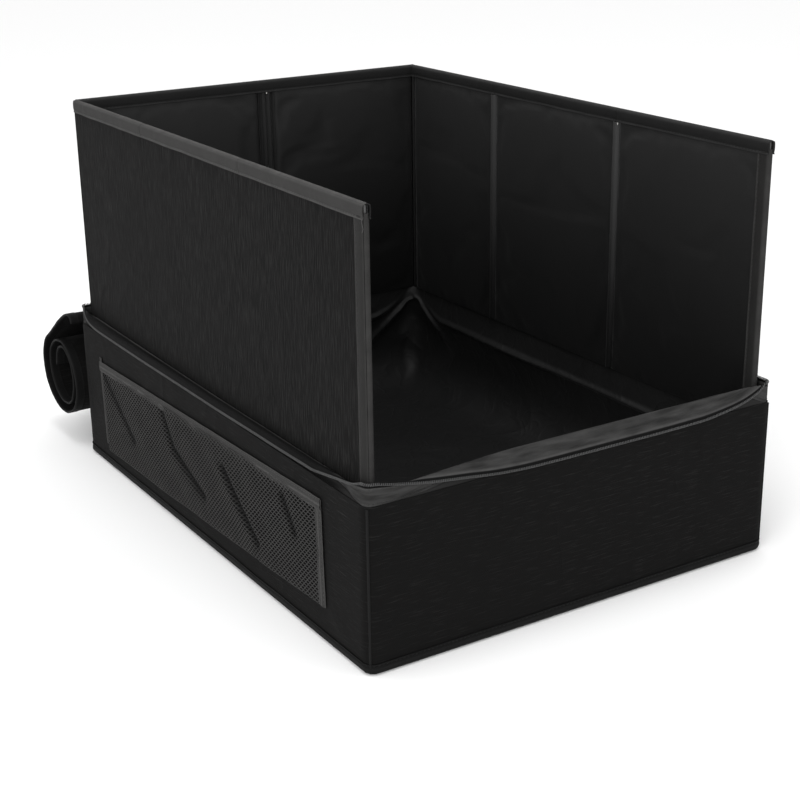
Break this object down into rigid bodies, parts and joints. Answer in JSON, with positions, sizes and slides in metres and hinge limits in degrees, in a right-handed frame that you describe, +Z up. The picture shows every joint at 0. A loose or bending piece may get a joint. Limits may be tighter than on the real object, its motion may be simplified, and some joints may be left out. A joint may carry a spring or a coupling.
{
  "type": "foldable litter box",
  "caption": "Foldable fabric litter box: stiffened zip-rimmed tray with a loose liner, a folding padded guard on its sides and back, a mesh side pocket and a lid rolled up behind.",
  "frame": {"origin": "middle of the tray's underside, on the floor", "axes": "+Z up, -Y towards the open front where the cat steps in, +Y towards the rolled lid behind, -X towards the side with the mesh pocket"},
  "size_m": [0.3868, 0.6105, 0.33],
  "materials": {
    "outer_fabric": "near-black woven polyester with a slubbed thread, dull",
    "satin_lining": "near-black smooth coated fabric over soft padding, soft sheen",
    "liner": "black waterproof coated fabric, slightly glossy, creased",
    "binding": "dark grey folded binding tape with a fine rib, dull",
    "zip_tape": "grey woven zip tape with creases along it, dull",
    "net": "black soft net",
    "zip_teeth": "black nylon coil",
    "board": "stiffener board inside the fabric, not seen",
    "zip_metal": "black painted zinc, satin"
  },
  "bodies": {
    "tray": {"tray_bottom": "outer_fabric", "tray_walls": "outer_fabric", "base_board": "board", "front_board": "board", "back_board": "board", "left_board": "board", "right_board": "board", "waterproof_liner": "liner", "bottom_binding": "binding", "rim_collar": "outer_fabric", "zip_tape": "zip_tape", "zip_teeth": "zip_teeth", "zip_left_stop": "zip_metal", "zip_right_stop": "zip_metal", "mesh_pocket": "net", "pocket_binding": "binding", "lid_hinge_strip": "outer_fabric", "back_left_board": "board", "back_right_board": "board", "back_left_pad": "satin_lining", "back_right_pad": "satin_lining", "back_cover": "outer_fabric", "back_binding": "binding", "back_crease_strip": "outer_fabric", "left_corner_strip": "outer_fabric", "right_corner_web": "outer_fabric"},
    "rolled_lid": {"lid_roll": "outer_fabric", "lid_left_binding": "binding", "lid_right_binding": "binding"},
    "zip_slider_body": {"zip_slider": "zip_metal"},
    "zip_pull_body": {"zip_pull": "zip_metal"},
    "right_rear_wall": {"right_rear_board": "board", "right_rear_pad": "satin_lining", "right_rear_cover": "outer_fabric", "right_rear_binding": "binding", "right_rear_web": "outer_fabric"},
    "right_middle_wall": {"right_middle_board": "board", "right_middle_pad": "satin_lining", "right_middle_cover": "outer_fabric", "right_middle_binding": "binding", "right_front_web": "outer_fabric"},
    "right_front_wall": {"right_front_board": "board", "right_front_pad": "satin_lining", "right_front_cover": "outer_fabric", "right_front_binding": "binding"},
    "left_rear_wall": {"left_rear_board": "board", "left_rear_pad": "satin_lining", "left_rear_cover": "outer_fabric", "left_rear_binding": "binding", "left_rear_web": "outer_fabric"},
    "left_middle_wall": {"left_middle_board": "board", "left_middle_pad": "satin_lining", "left_middle_cover": "outer_fabric", "left_middle_binding": "binding", "left_front_web": "outer_fabric"},
    "left_front_wall": {"left_front_board": "board", "left_front_pad": "satin_lining", "left_front_cover": "outer_fabric", "left_front_binding": "binding"}
  },
  "joints": [
    {"name": "right_corner_fold", "type": "hinge", "parent": "tray", "child": "right_rear_wall", "pos_m": [0.1716, 0.2378, 0.105], "axis": [0, 0, -1], "range_deg": [0, 90]},
    {"name": "right_rear_crease", "type": "hinge", "parent": "right_rear_wall", "child": "right_middle_wall", "pos_m": [0.1716, 0.101, 0.105], "axis": [0, 0, 1], "range_deg": [-74, 0]},
    {"name": "right_front_crease", "type": "hinge", "parent": "right_middle_wall", "child": "right_front_wall", "pos_m": [0.1772, -0.073, 0.105], "axis": [0, 0, 1], "range_deg": [0, 180]},
    {"name": "left_corner_fold", "type": "hinge", "parent": "tray", "child": "left_rear_wall", "pos_m": [-0.1716, 0.223, 0.105], "axis": [0, 0, -1], "range_deg": [-90, 0]},
    {"name": "left_rear_crease", "type": "hinge", "parent": "left_rear_wall", "child": "left_middle_wall", "pos_m": [-0.1716, 0.101, 0.105], "axis": [0, 0, 1], "range_deg": [0, 74]},
    {"name": "left_front_crease", "type": "hinge", "parent": "left_middle_wall", "child": "left_front_wall", "pos_m": [-0.1772, -0.073, 0.105], "axis": [0, 0, 1], "range_deg": [-180, 0]},
    {"name": "lid_swing", "type": "hinge", "parent": "tray", "child": "rolled_lid", "pos_m": [0, 0.2554, 0.125], "axis": [1, 0, 0], "range_deg": [0, 30]},
    {"name": "zip_slide", "type": "slide", "parent": "tray", "child": "zip_slider_body", "axis": [0, -1, 0], "range_m": [0, 0.448]},
    {"name": "pull_flip", "type": "hinge", "parent": "zip_slider_body", "child": "zip_pull_body", "pos_m": [0.1884, 0.224, 0.143], "axis": [0, -1, 0], "range_deg": [0, 150]}
  ],
  "couplings": [
    {"joint": "right_front_crease", "follows": "right_corner_fold", "ratio": 2},
    {"joint": "left_front_crease", "follows": "left_corner_fold", "ratio": 2}
  ]
}
